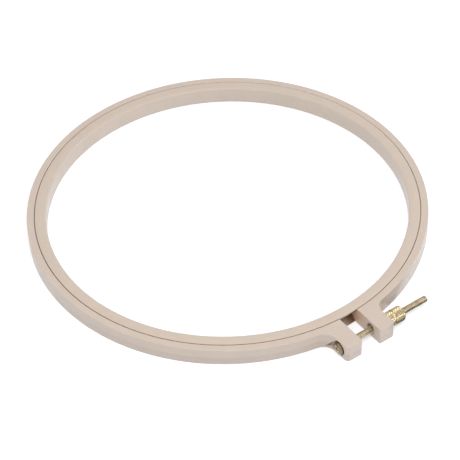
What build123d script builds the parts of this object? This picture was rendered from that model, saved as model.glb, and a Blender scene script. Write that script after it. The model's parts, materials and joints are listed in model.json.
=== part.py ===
from build123d import *
import math
import os

os.makedirs("parts", exist_ok=True)

# All lengths are millimetres. The origin is the centre of the hoop, on the parting plane half way up
# the rings. Z is the rings' axis, the clamp is on -Y, and the screw lies along X with its head on -X.

# The two rings
hoop_height = 10.9
outer_ring_radius = 119.0
outer_ring_wall = 4.4
ring_seam = 0.3
inner_ring_wall = 6.7
inner_edge_round = 0.9
seam_edge_round = 0.25
moulded_edge_round = 0.35

# The split and the two lugs
split_gap = 12.4
head_lug_width = 10.7
nut_lug_width = 10.4
lug_reach = 16.1
head_lug_root = 8.5
nut_lug_root = 7.0
head_lug_corner = 2.5
nut_lug_corner = 1.8
head_lug_gap_corner = 1.35
nut_lug_gap_corner = 0.6

# The screw, from its head's underside to its rounded tip
screw_radius = 2.0
screw_length = 61.7
screw_tip_round = 0.9
screw_from_lug_end = 7.6
head_radius = 4.0
head_height = 2.7
head_dome = 1.15
recess_span = 4.1
recess_slot = 0.9
recess_depth = 1.7
recess_taper_degrees = 9.0

# The screw's holes and the pocket for its head
head_hole_clearance = 0.2
head_pocket_clearance = 0.6
head_pocket_depth = 1.1
pocket_corner_from_ring = 0.35
pocket_corner_from_base = 1.5
nut_hole_width = 6.2
nut_hole_height = 7.2
nut_hole_offset = 0.95
seat_clearance = 0.05

# The knurled nut
nut_radius = 4.65
nut_length = 10.8
nut_end_chamfer = 0.45
nut_groove_start = 3.5
nut_groove_width = 1.2
nut_groove_depth = 0.55
nut_bore_chamfer = 0.45
thread_clearance = 0.05

# How far cutting shapes run past what they cut
cut_overrun = 1.0

# Places that follow from the sizes above
half_height = hoop_height / 2
outer_bore_radius = outer_ring_radius - outer_ring_wall
inner_ring_radius = outer_bore_radius - ring_seam
opening_radius = inner_ring_radius - inner_ring_wall
lug_end = outer_ring_radius + lug_reach
screw_y = -(lug_end - screw_from_lug_end)
head_lug_face = -(split_gap / 2 + head_lug_width)
nut_lug_face = split_gap / 2 + nut_lug_width
head_seat = head_lug_face + head_pocket_depth
head_underside = head_seat - seat_clearance


def inner_ring():
    """Closed ring with a straight bore, its two inner edges well rounded."""
    ring = Cylinder(inner_ring_radius, hoop_height) - Cylinder(opening_radius, hoop_height)
    circles = ring.edges().filter_by(GeomType.CIRCLE).sort_by(SortBy.RADIUS)
    ring = fillet(circles[:2], inner_edge_round)
    circles = ring.edges().filter_by(GeomType.CIRCLE).sort_by(SortBy.RADIUS)
    return fillet(circles[-2:], seam_edge_round)


def lug_plan(side, width, root_radius, corner_radius, gap_corner_radius):
    """Plan of one lug with the concave root that blends it into the ring's outside."""
    gap_x = side * split_gap / 2
    face_x = gap_x + side * width
    root_x = face_x + side * root_radius
    root_y = -math.sqrt((outer_ring_radius + root_radius) ** 2 - root_x**2)
    on_ring = outer_ring_radius / (outer_ring_radius + root_radius)
    root_start = Vector(root_x * on_ring, root_y * on_ring)
    root_turn = (root_start - Vector(root_x, root_y) + Vector(-side * root_radius, 0)).normalized()
    root_middle = Vector(root_x, root_y) + root_turn * root_radius
    in_wall = outer_bore_radius / (outer_ring_radius + root_radius)
    outline = [
        Line((gap_x, root_y * in_wall), (gap_x, -lug_end)),
        Line((gap_x, -lug_end), (face_x, -lug_end)),
        Line((face_x, -lug_end), (face_x, root_y)),
        ThreePointArc((face_x, root_y), root_middle, root_start),
        Line(root_start, (root_x * in_wall, root_y * in_wall)),
        Line((root_x * in_wall, root_y * in_wall), (gap_x, root_y * in_wall)),
    ]
    plan = make_face(outline)
    for corner_x, radius in ((gap_x, gap_corner_radius), (face_x, corner_radius)):
        corner = plan.vertices().sort_by_distance((corner_x, -lug_end))[0]
        plan = fillet(corner, radius)
    return plan


def head_pocket():
    """Round pocket for the head, drawn out to a corner at the foot of the ring."""
    pocket_radius = head_radius + head_pocket_clearance
    corner_y = -(outer_ring_radius - pocket_corner_from_ring)
    corner_z = -half_height + pocket_corner_from_base
    across = corner_y - screw_y
    reach = math.hypot(across, corner_z)
    tilt = math.atan2(corner_z, across)
    swing = math.acos(pocket_radius / reach)
    touches = [
        (screw_y + pocket_radius * math.cos(turn), pocket_radius * math.sin(turn))
        for turn in (tilt - swing, tilt + swing)
    ]
    start = Plane(origin=(head_seat, 0, 0), x_dir=(0, 1, 0), z_dir=(1, 0, 0))
    wedge = make_face(Polyline((screw_y, 0), touches[0], (corner_y, corner_z), touches[1], close=True))
    mouth = Pos(screw_y, 0) * Circle(pocket_radius) + wedge
    return extrude(start * mouth, -outer_ring_radius)


def outer_ring():
    """Split ring and lugs, one half moulded each side of the parting plane, with the screw's holes."""
    plan = Circle(outer_ring_radius)
    plan += lug_plan(-1, head_lug_width, head_lug_root, head_lug_corner, head_lug_gap_corner)
    plan += lug_plan(1, nut_lug_width, nut_lug_root, nut_lug_corner, nut_lug_gap_corner)
    plan -= Circle(outer_bore_radius)
    plan -= Pos(0, -outer_ring_radius) * Rectangle(split_gap, 2 * (outer_ring_wall + cut_overrun))
    upper = extrude(plan, half_height)
    upper = fillet(upper.faces().sort_by(Axis.Z)[-1].edges(), moulded_edge_round)
    ring = upper + mirror(upper, Plane.XY)

    hole_length = head_lug_width + 2 * cut_overrun
    head_hole = Rot(0, 90, 0) * Cylinder(screw_radius + head_hole_clearance, hole_length)
    ring -= Pos(head_lug_face + head_lug_width / 2, screw_y, 0) * head_hole
    ring -= head_pocket()
    nut_hole = Ellipse(nut_hole_width / 2, nut_hole_height / 2)
    start = Plane(origin=(0, screw_y + nut_hole_offset, 0), x_dir=(0, 1, 0), z_dir=(1, 0, 0))
    ring -= extrude(start * nut_hole, nut_lug_face + cut_overrun)
    return ring


def clamp_screw():
    """Plain shank at the thread's outside diameter, domed head and tapered cross recess."""
    shank = Cylinder(screw_radius, screw_length, align=(Align.CENTER, Align.CENTER, Align.MIN))
    shank = fillet(shank.edges().group_by(Axis.Z)[-1], screw_tip_round)
    dome_radius = (head_radius**2 + head_dome**2) / (2 * head_dome)
    head = Cylinder(head_radius, head_height, align=(Align.CENTER, Align.CENTER, Align.MAX))
    head = head & Pos(0, 0, dome_radius - head_height) * Sphere(dome_radius)
    cross = Rectangle(recess_span, recess_slot) + Rectangle(recess_slot, recess_span)
    cutter = extrude(Pos(0, 0, -head_height) * cross, recess_depth, taper=recess_taper_degrees)
    screw = shank + head - cutter
    return Pos(head_underside, screw_y, 0) * Rot(0, 90, 0) * screw


def knurled_nut():
    """Turned barrel nut, one groove between its two knurled bands."""
    from_base = (Align.CENTER, Align.CENTER, Align.MIN)
    nut = Cylinder(nut_radius, nut_length, align=from_base)
    nut = chamfer(nut.edges().filter_by(GeomType.CIRCLE), nut_end_chamfer)
    groove = Cylinder(nut_radius + cut_overrun, nut_groove_width, align=from_base)
    groove -= Cylinder(nut_radius - nut_groove_depth, nut_groove_width, align=from_base)
    nut -= Pos(0, 0, nut_groove_start) * groove
    nut -= Cylinder(screw_radius + thread_clearance, nut_length, align=from_base)
    mouths = nut.edges().filter_by(GeomType.CIRCLE).sort_by(SortBy.RADIUS)[:2]
    nut = chamfer(mouths, nut_bore_chamfer)
    return Pos(nut_lug_face + seat_clearance, screw_y, 0) * Rot(0, 90, 0) * nut


for name, make in (
    ("outer_ring", outer_ring),
    ("inner_ring", inner_ring),
    ("clamp_screw", clamp_screw),
    ("knurled_nut", knurled_nut),
):
    export_step(make(), f"parts/{name}.step")
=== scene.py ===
import json
import math

import bmesh
import bpy
from mathutils import Matrix, Vector

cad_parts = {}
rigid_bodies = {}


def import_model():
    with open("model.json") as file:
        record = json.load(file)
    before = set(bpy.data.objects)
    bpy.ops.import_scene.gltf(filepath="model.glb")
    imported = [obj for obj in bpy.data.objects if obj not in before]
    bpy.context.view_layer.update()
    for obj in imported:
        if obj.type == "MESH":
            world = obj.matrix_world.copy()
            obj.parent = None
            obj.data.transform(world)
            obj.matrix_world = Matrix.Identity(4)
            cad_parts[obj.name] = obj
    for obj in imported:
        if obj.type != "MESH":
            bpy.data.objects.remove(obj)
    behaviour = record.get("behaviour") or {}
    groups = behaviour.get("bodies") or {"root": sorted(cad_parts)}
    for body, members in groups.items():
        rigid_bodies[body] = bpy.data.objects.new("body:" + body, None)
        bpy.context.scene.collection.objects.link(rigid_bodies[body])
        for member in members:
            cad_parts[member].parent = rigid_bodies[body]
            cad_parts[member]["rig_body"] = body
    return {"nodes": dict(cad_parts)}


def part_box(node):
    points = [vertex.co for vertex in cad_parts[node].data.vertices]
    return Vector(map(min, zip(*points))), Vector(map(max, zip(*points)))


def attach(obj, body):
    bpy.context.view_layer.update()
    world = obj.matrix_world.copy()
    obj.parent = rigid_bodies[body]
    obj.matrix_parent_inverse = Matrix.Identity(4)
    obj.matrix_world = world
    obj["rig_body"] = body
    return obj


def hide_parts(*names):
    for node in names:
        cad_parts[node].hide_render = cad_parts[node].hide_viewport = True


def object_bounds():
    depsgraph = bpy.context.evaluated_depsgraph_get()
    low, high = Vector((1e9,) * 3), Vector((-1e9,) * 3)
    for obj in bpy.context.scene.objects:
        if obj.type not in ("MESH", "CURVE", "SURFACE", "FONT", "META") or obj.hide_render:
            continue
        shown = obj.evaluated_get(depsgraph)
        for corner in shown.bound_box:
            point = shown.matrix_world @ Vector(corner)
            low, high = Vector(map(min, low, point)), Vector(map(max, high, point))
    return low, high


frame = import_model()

cad_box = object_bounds()


# Outer ring: the split ring and its two clamp lugs, one moulding in satin beige plastic.
# Its mould parted half way up the wall, which leaves a fine witness line round the outside.
mm = 0.001
split_gap = 12.4 * mm
outer_bore_radius = 114.6 * mm
ring_seam = 0.3 * mm
wall_draft_degrees = 2.5
outer_ring = frame["nodes"]["outer_ring"]


def add_node(owner, kind, **settings):
    node = owner.node_tree.nodes.new("ShaderNode" + kind)
    for name, value in settings.items():
        setattr(node, name, value)
    return node


def feed(owner, socket, value):
    """Join a node's output to a socket, or set the socket to a constant."""
    if isinstance(value, bpy.types.NodeSocket):
        owner.node_tree.links.new(value, socket)
    else:
        socket.default_value = value


def work_out(owner, operation, *values):
    """Number worked out from one to three others."""
    result = add_node(owner, "Math", operation=operation)
    for socket, value in zip(result.inputs, values):
        feed(owner, socket, value)
    return result.outputs["Value"]


def combine(owner, operation, first, second):
    """Place or colour worked out from two others, or scaled by a number."""
    result = add_node(owner, "VectorMath", operation=operation)
    feed(owner, result.inputs[0], first)
    feed(owner, result.inputs["Scale" if operation == "SCALE" else 1], second)
    return result.outputs["Vector"]


def axis_distance(owner, where, across, centre=(0, 0, 0)):
    """Distance from an axis through `centre`; `across` is 1 square to that axis and 0 along it."""
    flat = combine(owner, "MULTIPLY", combine(owner, "SUBTRACT", where, centre), across)
    length = add_node(owner, "VectorMath", operation="LENGTH")
    feed(owner, length.inputs[0], flat)
    return length.outputs["Value"]


def axes_of(owner, where):
    spread = add_node(owner, "SeparateXYZ")
    feed(owner, spread.inputs["Vector"], where)
    return spread.outputs["X"], spread.outputs["Y"], spread.outputs["Z"]


def ramp(owner, value, *stops):
    """Colour that runs through stops, each a position and its red, green and blue."""
    result = add_node(owner, "ValToRGB")
    elements = result.color_ramp.elements
    while len(elements) < len(stops):
        elements.new(1.0)
    for element, (position, colour) in zip(elements, stops):
        element.position = position
        element.color = (*colour, 1)
    feed(owner, result.inputs["Fac"], value)
    return result.outputs["Color"]


def cloudy(owner, place, size, detail=3.0):
    """Noise whose patches are about `size` metres across."""
    noise = add_node(owner, "TexNoise")
    noise.inputs["Scale"].default_value = 1 / size
    noise.inputs["Detail"].default_value = detail
    feed(owner, noise.inputs["Vector"], place)
    return noise.outputs["Fac"]


def stretch(owner, value, low, high, to_low, to_high):
    """Smooth step that takes low..high to to_low..to_high."""
    step = add_node(owner, "MapRange", interpolation_type="SMOOTHSTEP")
    for name, number in (("From Min", low), ("From Max", high), ("To Min", to_low), ("To Max", to_high)):
        step.inputs[name].default_value = number
    feed(owner, step.inputs["Value"], value)
    return step.outputs["Result"]


def press(owner, height, depth, strength, under=None):
    """Relief `depth` metres deep, on top of the relief `under`."""
    bump = add_node(owner, "Bump")
    bump.inputs["Strength"].default_value = strength
    bump.inputs["Distance"].default_value = depth
    feed(owner, bump.inputs["Height"], height)
    if under:
        feed(owner, bump.inputs["Normal"], under)
    return bump.outputs["Normal"]


def moulded_plastic(name, thin_flow, full_flow, pattern_place, split_painted_light, parted):
    """Satin moulded plastic with faint flow clouding, a fine grain and painted brown shade deep in the
    seam.

    `split_painted_light` multiplies its colour deep down in the split between the lugs, by the right lug:
    painted shade below 1 and a painted glow of bounced light above 1. Where `parted`, it is drafted and
    set off by a witness line, with painted shade on its lower half and a painted highlight on the line.
    """
    material = bpy.data.materials.new(name)
    material.use_nodes = True
    plastic = material.node_tree.nodes["Principled BSDF"].inputs
    plastic["IOR"].default_value = 1.5
    plastic["Subsurface Weight"].default_value = 0.25
    plastic["Subsurface Radius"].default_value = (1.0, 0.42, 0.24)
    plastic["Subsurface Scale"].default_value = 1.0 * mm
    where = add_node(material, "TexCoord").outputs["Object"]
    shift = add_node(material, "Mapping")
    shift.inputs["Location"].default_value = pattern_place
    feed(material, shift.inputs["Vector"], where)
    pattern = shift.outputs["Vector"]
    flow = ramp(material, cloudy(material, pattern, 14 * mm), (0.3, thin_flow), (0.7, full_flow))
    satin = stretch(material, cloudy(material, pattern, 3 * mm), 0.35, 0.65, 0.30, 0.37)
    feed(material, plastic["Roughness"], satin)
    surface = press(material, cloudy(material, pattern, 0.35 * mm), 0.02 * mm, 0.15)

    sideways, outwards, height = axes_of(material, where)
    radius = axis_distance(material, where, (1, 1, 0))
    off_middle = work_out(material, "ABSOLUTE", height)
    off_centre = work_out(material, "ABSOLUTE", sideways)
    between_lugs = work_out(material, "LESS_THAN", off_centre, split_gap / 2 + 0.1 * mm)
    at_front = work_out(material, "LESS_THAN", outwards, 0)
    in_split = work_out(material, "MULTIPLY", between_lugs, at_front)

    # painted brown shade on the seam's own walls, but not on the ends of the seam that show in the split
    past_seam = work_out(material, "SUBTRACT", radius, outer_bore_radius - ring_seam / 2)
    away = stretch(material, work_out(material, "ABSOLUTE", past_seam), 0.19 * mm, 0.26 * mm, 0, 1)
    clear_of_seam = work_out(material, "MAXIMUM", away, in_split)
    seam_shade = ramp(material, clear_of_seam, (0, (0.76, 0.60, 0.45)), (1, (1, 1, 1)))
    colour = combine(material, "MULTIPLY", flow, seam_shade)

    # painted light and shade on the split's walls, below the top faces and behind the bore, strongest by
    # the right lug
    depth = in_split
    for share in (
        stretch(material, off_middle, 4.9 * mm, 5.2 * mm, 1, 0),
        stretch(material, radius, 109.0 * mm, 109.3 * mm, 0, 1),
        stretch(material, sideways, -2 * mm, 5.5 * mm, 0.4, 1),
        stretch(material, outwards, -126 * mm, -117 * mm, 0, 1),
    ):
        depth = work_out(material, "MULTIPLY", depth, share)
    colour = combine(material, "MULTIPLY", colour, ramp(material, depth, (0, (1, 1, 1)), (1, split_painted_light)))

    if parted:
        # painted shade: the lower half a little darker; painted highlight: the witness line a little
        # lighter
        witness = stretch(material, off_middle, 0.18 * mm, 0.36 * mm, 1, 0)
        lower_half_shade = stretch(material, height, -0.4 * mm, -0.1 * mm, 0.95, 1.0)
        shade = work_out(material, "MULTIPLY_ADD", witness, 0.05, lower_half_shade)
        colour = combine(material, "SCALE", colour, shade)
        drafted = work_out(material, "MULTIPLY", off_middle, -math.tan(math.radians(wall_draft_degrees)))
        surface = press(material, drafted, 1.0, 1.0, surface)
        surface = press(material, witness, 0.08 * mm, 0.8, surface)
    feed(material, plastic["Base Color"], colour)
    feed(material, plastic["Normal"], surface)
    return material


def finished_piece(name, mesh, material, sharp_degrees):
    """Object made from a finished mesh, smooth but for edges sharper than `sharp_degrees`."""
    data = bpy.data.meshes.new(name)
    mesh.to_mesh(data)
    mesh.free()
    data.shade_smooth()
    data.set_sharp_from_angle(angle=math.radians(sharp_degrees))
    data.materials.append(material)
    piece = bpy.data.objects.new(name, data)
    bpy.context.scene.collection.objects.link(piece)
    return piece


def close_ends(mesh):
    open_edges = [edge for edge in mesh.edges if edge.is_boundary]
    bmesh.ops.holes_fill(mesh, edges=open_edges, sides=0)
    bmesh.ops.recalc_face_normals(mesh, faces=mesh.faces)


def spun_ring(section, steps):
    """Closed section, given as pairs of radius and height, spun round the rings' axis."""
    ring = bmesh.new()
    corners = [ring.verts.new((0, -radius, height)) for radius, height in section]
    sides = [ring.edges.new(pair) for pair in zip(corners, corners[1:] + corners[:1])]
    bmesh.ops.spin(
        ring, geom=corners + sides, cent=(0, 0, 0), axis=(0, 0, 1), dvec=(0, 0, 0),
        angle=math.tau, steps=steps, use_merge=True,
    )
    bmesh.ops.recalc_face_normals(ring, faces=ring.faces)
    return ring


# in the split, the outer ring's walls get a painted warm glow of bounced light
outer_plastic = moulded_plastic(
    "outer_ring_beige", thin_flow=(0.698, 0.590, 0.505), full_flow=(0.722, 0.613, 0.527),
    pattern_place=(0.02, 0.01, 0), split_painted_light=(1.2, 1.02, 0.88), parted=True,
)
outer_ring.data.materials.clear()
outer_ring.data.materials.append(outer_plastic)

# the tongue moulded inside its bore, which keys into the inner ring's groove; its ends show in the split
tongue_foot_radius, tongue_foot = 113.7 * mm, -4.65 * mm
tongue_shoulder_radius, tongue_shoulder = 112.2 * mm, 3.6 * mm
tongue_crest_radius = 110.5 * mm
crest_low, crest_high = -2.2 * mm, 2.0 * mm
tongue = spun_ring(
    (
        (outer_bore_radius, tongue_foot), (tongue_foot_radius, tongue_foot),
        (tongue_crest_radius, crest_low), (tongue_crest_radius, crest_high),
        (tongue_shoulder_radius, tongue_shoulder), (outer_bore_radius, tongue_shoulder),
    ), steps=240,
)
for side in (-1, 1):
    front = [face for face in tongue.faces if face.calc_center_median().y < 0]
    edges = list({edge for face in front for edge in face.edges})
    corners = list({vert for face in front for vert in face.verts})
    bmesh.ops.bisect_plane(
        tongue, geom=corners + edges + front, plane_co=(side * split_gap / 2, 0, 0), plane_no=(1, 0, 0),
    )
across_split = [
    face for face in tongue.faces
    if face.calc_center_median().y < 0 and abs(face.calc_center_median().x) < split_gap / 2
]
bmesh.ops.delete(tongue, geom=across_split, context="FACES")
close_ends(tongue)
ring_tongue = finished_piece("outer_ring_tongue", tongue, outer_plastic, sharp_degrees=30)
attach(ring_tongue, outer_ring["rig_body"])


# Inner ring: one closed hoop moulded in the same plastic, held in the outer ring by its groove.
# Its two inner edges are well rounded, so that they don't mark the cloth.
inner_ring_radius = outer_bore_radius - ring_seam
inner_ring_wall = 6.7 * mm
opening_radius = inner_ring_radius - inner_ring_wall
half_height = 5.45 * mm
lip_root_radius, lip_underside = 112.0 * mm, 4.4 * mm
groove_floor_radius, groove_floor_half = 109.7 * mm, 2.3 * mm
foot_radius, foot_top = 113.45 * mm, -5.15 * mm
inner_edge_round = 0.9 * mm
lip_edge_round = 0.25 * mm
grooved = spun_ring(
    (
        (opening_radius, -half_height), (opening_radius, half_height), (inner_ring_radius, half_height),
        (inner_ring_radius, lip_underside), (lip_root_radius, lip_underside),
        (groove_floor_radius, groove_floor_half), (groove_floor_radius, -groove_floor_half),
        (foot_radius, foot_top), (foot_radius, -half_height),
    ), steps=288,
)


def round_edges(mesh, radius, heights, amount, segments):
    """Round the circles of a spun ring that lie at one radius and at the given heights."""
    near = 0.02 * mm
    circles = [
        edge for edge in mesh.edges
        if all(abs(vert.co.xy.length - radius) < near for vert in edge.verts)
        and any(all(abs(vert.co.z - height) < near for vert in edge.verts) for height in heights)
    ]
    bmesh.ops.bevel(
        mesh, geom=circles, offset=amount, affect="EDGES", segments=segments, profile=0.5, material=-1,
    )


round_edges(grooved, opening_radius, (-half_height, half_height), inner_edge_round, segments=5)
round_edges(grooved, inner_ring_radius, (half_height,), lip_edge_round, segments=2)
# in the split, the inner ring's groove gets dark brown painted shade
inner_plastic = moulded_plastic(
    "inner_ring_beige", thin_flow=(0.698, 0.590, 0.500), full_flow=(0.722, 0.613, 0.522),
    pattern_place=(0.31, 0.12, 0.05), split_painted_light=(0.27, 0.15, 0.08), parted=False,
)
inner_ring = finished_piece("grooved_inner_ring", grooved, inner_plastic, sharp_degrees=30)
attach(inner_ring, frame["nodes"]["inner_ring"]["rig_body"])
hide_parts("inner_ring")


# Clamp screw: a long brass M4 machine screw, threaded all the way, with a cross recess in its head.
# The head sits in the left lug's pocket, and the threaded shank runs out through both lugs.
screw_radius = 2.0 * mm
thread_pitch = 0.7 * mm
thread_root = 1.57 * mm
thread_steps = 24
tip_round = 0.9 * mm
neck = 0.5 * mm
head_height = 2.7 * mm
head_radius = 4 * mm
dome_radius = 7.53 * mm
recess_reach = 2.1 * mm
past_recess = 2.2 * mm
screw_low, screw_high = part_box("clamp_screw")
screw_y = (screw_low.y + screw_high.y) / 2
head_underside = screw_low.x + head_height


def brass(name, bright, worn, mark_size, shade_by_radius):
    """Brass plate with soft cloudy tarnish, rubbed patches, fine tool marks and painted shade in its
    hollows.

    `shade_by_radius` pairs distances from the screw's axis with the tone the metal is multiplied by there,
    painted shade in the thread roots and knurl valleys. The screw's cross recess is darkened with painted
    shade by its depth under the dome.
    """
    material = bpy.data.materials.new(name)
    material.use_nodes = True
    metal = material.node_tree.nodes["Principled BSDF"].inputs
    metal["Metallic"].default_value = 1.0
    where = add_node(material, "TexCoord").outputs["Object"]
    tarnish = ramp(material, cloudy(material, where, 2.2 * mm, 4.0), (0.35, worn), (0.62, bright))
    distance = axis_distance(material, where, (0, 1, 1), centre=(0, screw_y, 0))
    reach = 5 * mm
    share = work_out(material, "MULTIPLY", distance, 1 / reach)
    # painted shade by distance from the screw's axis, in the thread roots and knurl valleys; the screw
    # head's face darker towards its rim
    radius_shade = ramp(material, share, *((radius / reach, tint) for radius, tint in shade_by_radius))
    tarnished_and_shaded = combine(material, "MULTIPLY", tarnish, radius_shade)

    # painted shade in the cross recess, darker the deeper it lies under the dome
    along = axes_of(material, where)[0]
    squared = work_out(material, "POWER", distance, 2)
    under_dome = work_out(material, "MULTIPLY_ADD", squared, -1 / (2 * dome_radius), along)
    in_recess = stretch(material, under_dome, screw_low.x + 0.04 * mm, screw_low.x + 0.35 * mm, 0.68, 0.02)
    beside_recess = stretch(material, distance, recess_reach, recess_reach + 0.2 * mm, 0, 1)
    behind_recess = work_out(material, "GREATER_THAN", along, screw_low.x + past_recess)
    clear_of_recess = work_out(material, "MAXIMUM", beside_recess, behind_recess)
    lit = work_out(material, "MAXIMUM", in_recess, clear_of_recess)
    feed(material, metal["Base Color"], combine(material, "SCALE", tarnished_and_shaded, lit))

    rubbed = stretch(material, cloudy(material, where, 0.8 * mm), 0.35, 0.65, 0.24, 0.36)
    feed(material, metal["Roughness"], rubbed)
    feed(material, metal["Normal"], press(material, cloudy(material, where, mark_size), 0.02 * mm, 0.2))
    return material


# the shank: one thread's outline swept along the helix, then cut off square at both ends
thread = bmesh.new()
thread_start = head_underside + neck / 2
turns = math.ceil((screw_high.x - thread_start) / thread_pitch) + 2
flank = (  # shares of the pitch, each with the thread's radius there
    (0, thread_root), (0.28, screw_radius), (0.44, screw_radius), (0.72, thread_root), (1, thread_root)
)
profile = [
    thread.verts.new((thread_start - thread_pitch + share * thread_pitch, screw_y + radius, 0))
    for share, radius in flank
]
outline = [thread.edges.new(pair) for pair in zip(profile, profile[1:])]
bmesh.ops.spin(
    thread, geom=profile + outline, cent=(0, screw_y, 0), axis=(1, 0, 0),
    dvec=(thread_pitch / thread_steps, 0, 0), angle=math.tau * turns, steps=thread_steps * turns,
)
bmesh.ops.remove_doubles(thread, verts=thread.verts, dist=0.01 * mm)
for cut, side in ((thread_start, -1), (screw_high.x, 1)):
    bmesh.ops.bisect_plane(
        thread, geom=thread.verts[:] + thread.edges[:] + thread.faces[:],
        plane_co=(cut, 0, 0), plane_no=(side, 0, 0), clear_outer=True,
    )
close_ends(thread)


def off_axis(vert):
    """The way from the screw's axis straight out to a vertex."""
    return Vector((0, vert.co.y - screw_y, vert.co.z))


# the tip, turned down to a round point
round_start = screw_high.x - tip_round
for vert in thread.verts:
    beyond = min(vert.co.x - round_start, tip_round)
    if beyond > 0:
        allowed = screw_radius - tip_round + math.sqrt(tip_round**2 - beyond**2)
        if off_axis(vert).length > allowed:
            vert.co = Vector((vert.co.x, screw_y, 0)) + off_axis(vert).normalized() * allowed

# the head, cut from the screw with a short plain neck
head = bmesh.new()
head.from_mesh(frame["nodes"]["clamp_screw"].data)
bmesh.ops.remove_doubles(head, verts=head.verts, dist=0.001 * mm)
bmesh.ops.bisect_plane(
    head, geom=head.verts[:] + head.edges[:] + head.faces[:],
    plane_co=(head_underside + neck, 0, 0), plane_no=(1, 0, 0), clear_outer=True,
)
close_ends(head)
head_part = bpy.data.meshes.new("head")
head.to_mesh(head_part)
head.free()
thread.from_mesh(head_part)

unshaded = (1, 1, 1)
screw_finish = brass(
    "screw_brass", bright=(0.88, 0.79, 0.63), worn=(0.68, 0.60, 0.45), mark_size=0.25 * mm,
    # painted shade in the thread roots; the head's face darker towards its rim
    shade_by_radius=(
        (0, unshaded), (thread_root - 0.1 * mm, unshaded), (thread_root, (0.6, 0.57, 0.52)),
        (screw_radius - 0.15 * mm, (0.9, 0.9, 0.9)), (screw_radius, unshaded),
        (screw_radius + 0.1 * mm, (0.38, 0.32, 0.23)), (head_radius, (0.29, 0.24, 0.16)),
    ),
)
clamp_screw = finished_piece("brass_screw", thread, screw_finish, sharp_degrees=28)
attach(clamp_screw, frame["nodes"]["clamp_screw"]["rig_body"])
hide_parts("clamp_screw")


# Knurled nut: turned brass, with a plain groove between its two diamond-knurled bands.
# It runs along the screw's thread and its face bears on the right lug.
nut_radius = 4.65 * mm
nut_bore = 2.05 * mm
nut_chamfer = 0.45 * mm
groove_start = 3.5 * mm
groove_width = 1.2 * mm
groove_floor = 4.1 * mm
knurl_depth = 0.26 * mm
knurl_flat = 0.2 * mm
knurls_round = 26
short_band_rows, long_band_rows = 5, 9
nut_low, nut_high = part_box("knurled_nut")
groove_near = nut_low.x + groove_start
groove_far = groove_near + groove_width
bands = (
    (nut_low.x + nut_chamfer, groove_near, short_band_rows),
    (groove_far, nut_high.x - nut_chamfer, long_band_rows),
)


def band_section(start, end, rows):
    """Points of one knurled band's outside, row by row along the nut."""
    return [(start + row / rows * (end - start), nut_radius) for row in range(rows + 1)]


# the blank, its bands divided into as many rows and places as the knurl needs
nut = bmesh.new()
section = (
    [(nut_low.x + nut_chamfer, nut_bore), (nut_low.x, nut_bore + nut_chamfer)]
    + [(nut_low.x, nut_radius - nut_chamfer)] + band_section(*bands[0])
    + [(groove_near, groove_floor), (groove_far, groove_floor)] + band_section(*bands[1])
    + [(nut_high.x, nut_radius - nut_chamfer)]
    + [(nut_high.x, nut_bore + nut_chamfer), (nut_high.x - nut_chamfer, nut_bore)]
)
profile = [nut.verts.new((x, screw_y + radius, 0)) for x, radius in section]
outline = [nut.edges.new(pair) for pair in zip(profile, profile[1:] + profile[:1])]
bmesh.ops.spin(
    nut, geom=profile + outline, cent=(0, screw_y, 0), axis=(1, 0, 0), dvec=(0, 0, 0),
    angle=math.tau, steps=2 * knurls_round, use_merge=True,
)


def at_full_radius(vert):
    return off_axis(vert).length > nut_radius - 0.01 * mm


# the knurl: every other crossing of rows and places pressed in, the rest left as flat-topped diamonds
band_edge = 0.1 * mm
valleys = []
for start, end, rows in bands:
    for vert in nut.verts:
        row = (vert.co.x - start) / (end - start) * rows
        if at_full_radius(vert) and -0.1 < row < rows + 0.1:
            way_out = off_axis(vert)
            place = math.atan2(way_out.z, way_out.y) / math.tau * 2 * knurls_round
            if (round(row) + round(place)) % 2:
                vert.co -= way_out.normalized() * knurl_depth
                valleys.append(vert)
bmesh.ops.connect_verts(nut, verts=valleys, faces_exclude=[])
peaks = [
    vert for vert in nut.verts
    if at_full_radius(vert)
    and any(start + band_edge < vert.co.x < end - band_edge for start, end, rows in bands)
]
bmesh.ops.bevel(
    nut, geom=peaks, offset=knurl_flat, affect="VERTICES", segments=1, profile=0.5, material=-1,
)
bmesh.ops.recalc_face_normals(nut, faces=nut.faces)

nut_finish = brass(
    "nut_brass", bright=(0.92, 0.80, 0.54), worn=(0.74, 0.62, 0.40), mark_size=0.3 * mm,
    # painted dark shade deep in the knurl valleys
    shade_by_radius=(
        (0, unshaded), (groove_floor + 0.05 * mm, unshaded), (nut_radius - knurl_depth, (0.12, 0.09, 0.06)),
        (nut_radius - 0.8 * knurl_depth, (0.38, 0.34, 0.28)), (nut_radius - 0.5 * knurl_depth, unshaded),
    ),
)
knurled_nut = finished_piece("brass_nut", nut, nut_finish, sharp_degrees=24)
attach(knurled_nut, frame["nodes"]["knurled_nut"]["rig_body"])
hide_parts("knurled_nut")


# Camera: a long lens that looks down on the hoop from its front left.
# Its place and turns are those that lay the rings' four edges on the photo's.
lens = bpy.data.cameras.new("camera")
lens.lens = 141.41
camera_place = (-0.4499515, -0.6482089, 0.7326211)
heading_degrees, down_degrees, roll_degrees = -34.85, 43.5113, -1.8166
camera = bpy.data.objects.new("camera", lens)
bpy.context.scene.collection.objects.link(camera)
camera.matrix_world = (
    Matrix.Translation(camera_place)
    @ Matrix.Rotation(math.radians(heading_degrees), 4, "Z")
    @ Matrix.Rotation(math.radians(90 - down_degrees), 4, "X")
    @ Matrix.Rotation(math.radians(roll_degrees), 4, "Z")
)
bpy.context.scene.camera = camera


# Floor: plain white paper under the hoop, wide enough for every view.
# It gives a little light of its own where it is seen, so that it reads as white as a studio sweep.
floor_reach = 3
floor_lift = 0.42
floor_height = cad_box[0][2]


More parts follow.
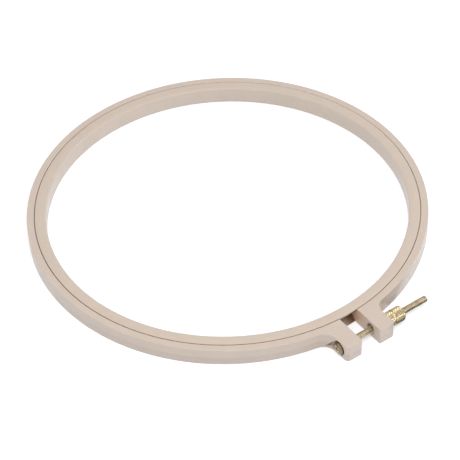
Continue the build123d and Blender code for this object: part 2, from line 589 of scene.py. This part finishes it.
def seen_directly(owner):
    """1 where the camera, a reflection or a clear surface sees a thing, and 0 where it only lights."""
    ray = add_node(owner, "LightPath").outputs
    seen = work_out(owner, "MAXIMUM", ray["Is Camera Ray"], ray["Is Glossy Ray"])
    return work_out(owner, "MAXIMUM", seen, ray["Is Transmission Ray"])


def level_sheet(name, left, right, near, far, height, material):
    """Flat sheet that lies level and faces up."""
    sheet = bmesh.new()
    bmesh.ops.create_grid(sheet, x_segments=1, y_segments=1, size=0.5)
    bmesh.ops.scale(sheet, vec=(right - left, far - near, 1), verts=sheet.verts)
    bmesh.ops.translate(sheet, vec=((left + right) / 2, (near + far) / 2, height), verts=sheet.verts)
    data = bpy.data.meshes.new(name)
    sheet.to_mesh(data)
    sheet.free()
    data.materials.append(material)
    piece = bpy.data.objects.new(name, data)
    bpy.context.scene.collection.objects.link(piece)
    return piece


paper = bpy.data.materials.new("white_paper")
paper.use_nodes = True
matt = paper.node_tree.nodes["Principled BSDF"].inputs
matt["Base Color"].default_value = (0.84, 0.88, 0.95, 1)
matt["Roughness"].default_value = 0.9
matt["Specular IOR Level"].default_value = 0.1
matt["Emission Color"].default_value = (1, 1, 1, 1)
feed(paper, matt["Emission Strength"], work_out(paper, "MULTIPLY", seen_directly(paper), floor_lift))
floor = level_sheet("floor", -floor_reach, floor_reach, -floor_reach, floor_reach, floor_height, paper)


# Dark cards: two low strips on the table beside the clamp, as a photographer lays them out.
# They are seen only in the brass, where they give the screw and the nut their dark side.
card_above_floor = 0.3 * mm
card_shade = bpy.data.materials.new("dark_card")
card_shade.use_nodes = True
card_surface = card_shade.node_tree.nodes["Principled BSDF"].inputs
card_surface["Base Color"].default_value = (0.10, 0.10, 0.10, 1)
card_surface["Roughness"].default_value = 0.9
for name, left, right, near, far in (
    ("front_card", 0.019, 0.25, -0.25, -0.131), ("back_card", 0.029, 0.07, -0.124, -0.1135),
):
    card = level_sheet(name, left, right, near, far, floor_height + card_above_floor, card_shade)
    card.visible_camera = False
    card.visible_diffuse = False
    card.visible_shadow = False
    card.visible_transmission = False


# Light: one broad soft lamp overhead, a weaker cool one at the right, and a plain white room.
# The room is dimmer as a light than it looks, so that it doesn't flatten the shading.
room_light = 0.56


def soft_lamp(name, width, power, colour, place):
    """Square lamp that faces the hoop's centre."""
    light = bpy.data.lights.new(name, "AREA")
    light.shape = "SQUARE"
    light.size = width
    light.energy = power
    light.color = colour
    lamp = bpy.data.objects.new(name, light)
    bpy.context.scene.collection.objects.link(lamp)
    facing = Vector(place).to_track_quat("Z", "Y").to_matrix().to_4x4()
    lamp.matrix_world = Matrix.Translation(place) @ facing


soft_lamp("softbox", width=0.55, power=4.9, colour=(1.0, 0.97, 0.93), place=(-0.30, -0.45, 1.05))
soft_lamp("side_fill", width=0.6, power=2.2, colour=(0.90, 0.95, 1.0), place=(0.92, -0.55, 0.40))

room = bpy.data.worlds.new("room")
bpy.context.scene.world = room
room.use_nodes = True
sky = room.node_tree.nodes["Background"].inputs
sky["Color"].default_value = (1, 1, 1, 1)
level = add_node(room, "MapRange")
level.inputs["To Min"].default_value = room_light
level.inputs["To Max"].default_value = 1.0
feed(room, level.inputs["Value"], seen_directly(room))
feed(room, sky["Strength"], level.outputs["Result"])

bpy.context.scene.view_settings.view_transform = "Standard"
